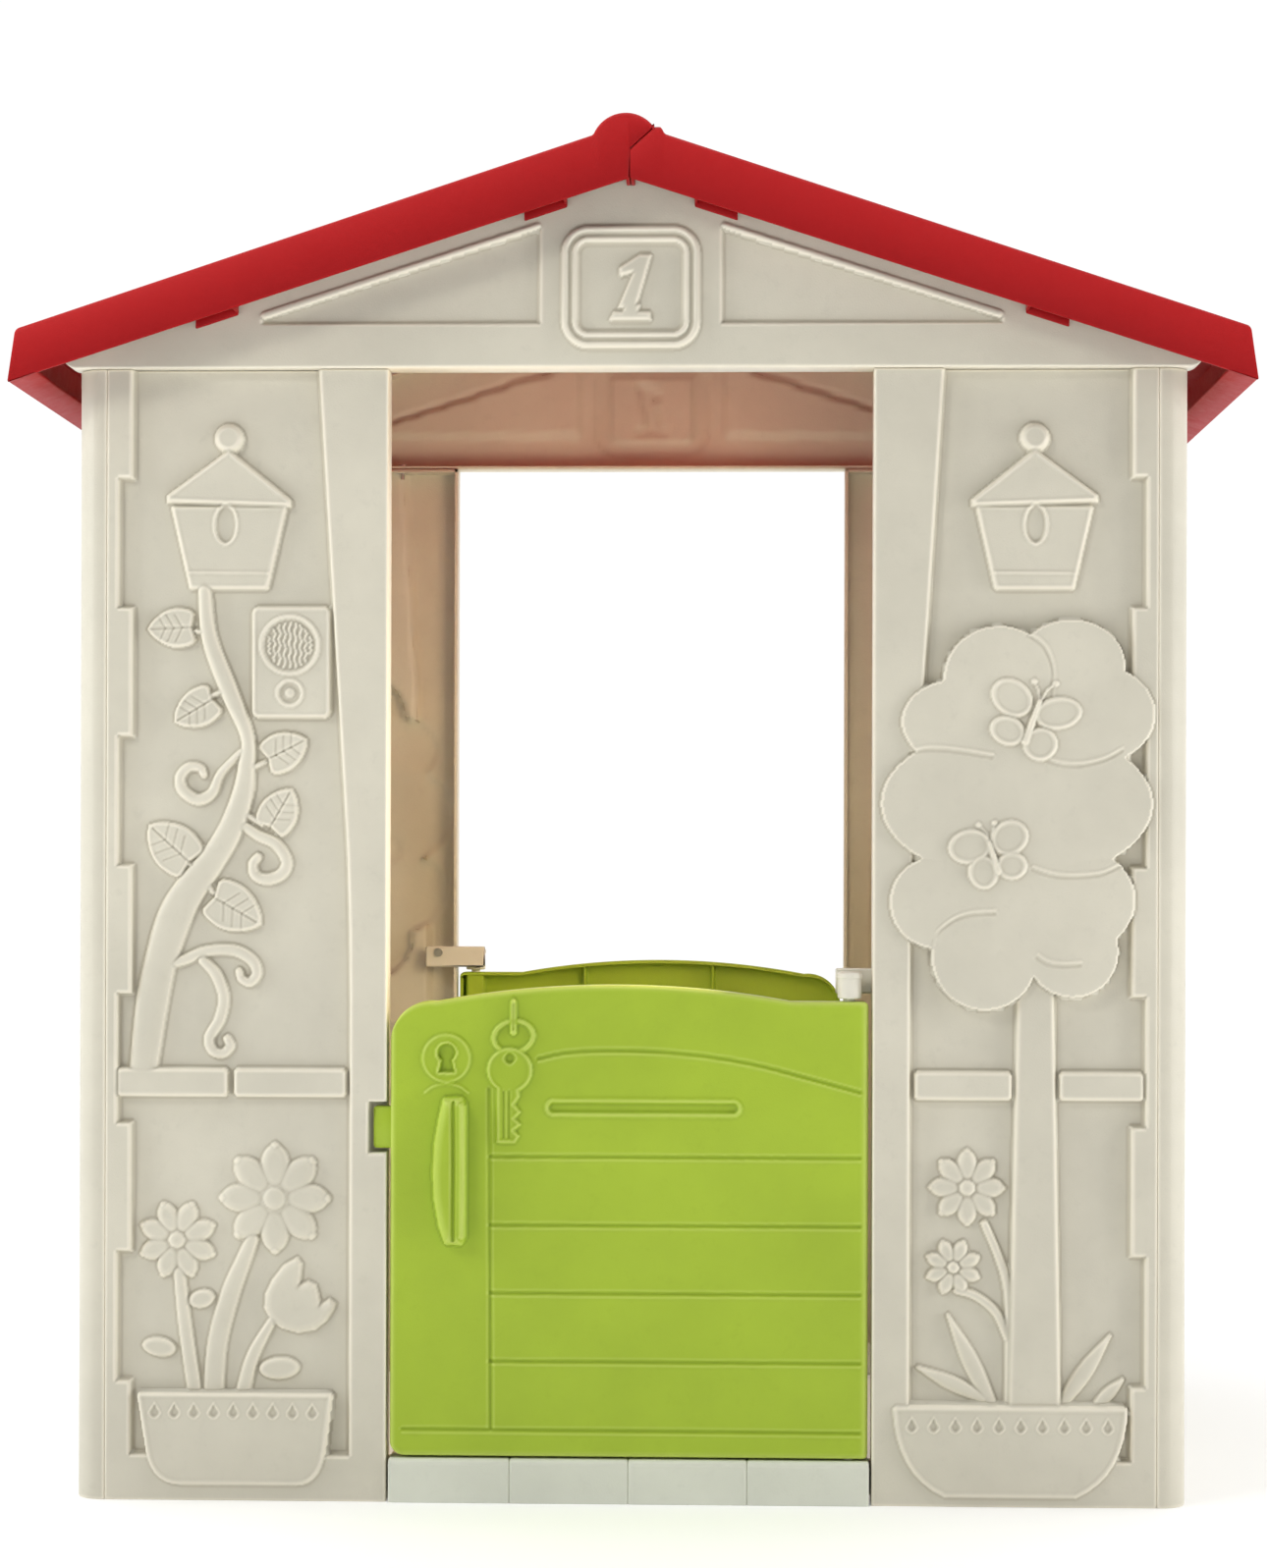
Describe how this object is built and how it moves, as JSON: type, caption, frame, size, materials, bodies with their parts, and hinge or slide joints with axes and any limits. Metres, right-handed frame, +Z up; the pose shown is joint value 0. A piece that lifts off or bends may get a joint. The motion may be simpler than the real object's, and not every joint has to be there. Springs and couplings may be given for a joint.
{
  "type": "plastic playhouse",
  "caption": "Toddler playhouse of moulded plastic wall panels with garden reliefs, a pitched red roof, side windows and outward-swinging half doors at front and back.",
  "frame": {"origin": "on the floor under the middle of the house, the bottom centre of its box", "axes": "+Z up, -Y out of the front doorway, +X to the right of someone facing the front"},
  "size_m": [1.146, 0.88, 1.2839],
  "materials": {
    "wall_plastic": "cream moulded polyethylene, fine matt grain",
    "roof_plastic": "red moulded polyethylene, soft sheen, slightly translucent",
    "door_plastic": "lime green moulded polyethylene, soft sheen",
    "threshold_plastic": "pale grey moulded polyethylene, matt",
    "bracket_plastic": "white injection-moulded plastic",
    "pin_plastic": "white injection-moulded plastic",
    "screw_steel": "zinc-plated pan-head screws"
  },
  "bodies": {
    "house": {"front_vine_panel": "wall_plastic", "front_tree_panel": "wall_plastic", "back_vine_panel": "wall_plastic", "back_tree_panel": "wall_plastic", "left_side_wall": "wall_plastic", "right_side_wall": "wall_plastic", "front_gable": "wall_plastic", "back_gable": "wall_plastic", "left_roof_panel": "roof_plastic", "right_roof_panel": "roof_plastic", "front_threshold": "threshold_plastic", "back_threshold": "threshold_plastic", "front_hinge_bracket": "bracket_plastic", "back_hinge_bracket": "bracket_plastic", "corner_screws": "screw_steel", "gable_screws": "screw_steel", "bracket_screws": "screw_steel", "threshold_screws": "screw_steel", "ridge_screws": "screw_steel"},
    "front_door": {"front_door": "door_plastic", "front_upper_hinge_pin": "pin_plastic", "front_lower_hinge_pin": "pin_plastic"},
    "back_door": {"back_door": "door_plastic", "back_upper_hinge_pin": "pin_plastic", "back_lower_hinge_pin": "pin_plastic"}
  },
  "joints": [
    {"name": "front_door_hinge", "type": "hinge", "parent": "house", "child": "front_door", "pos_m": [0.205, -0.382, 0.25], "axis": [0, 0, 1], "range_deg": [0, 105]},
    {"name": "back_door_hinge", "type": "hinge", "parent": "house", "child": "back_door", "pos_m": [-0.205, 0.382, 0.25], "axis": [0, 0, 1], "range_deg": [0, 105]}
  ]
}
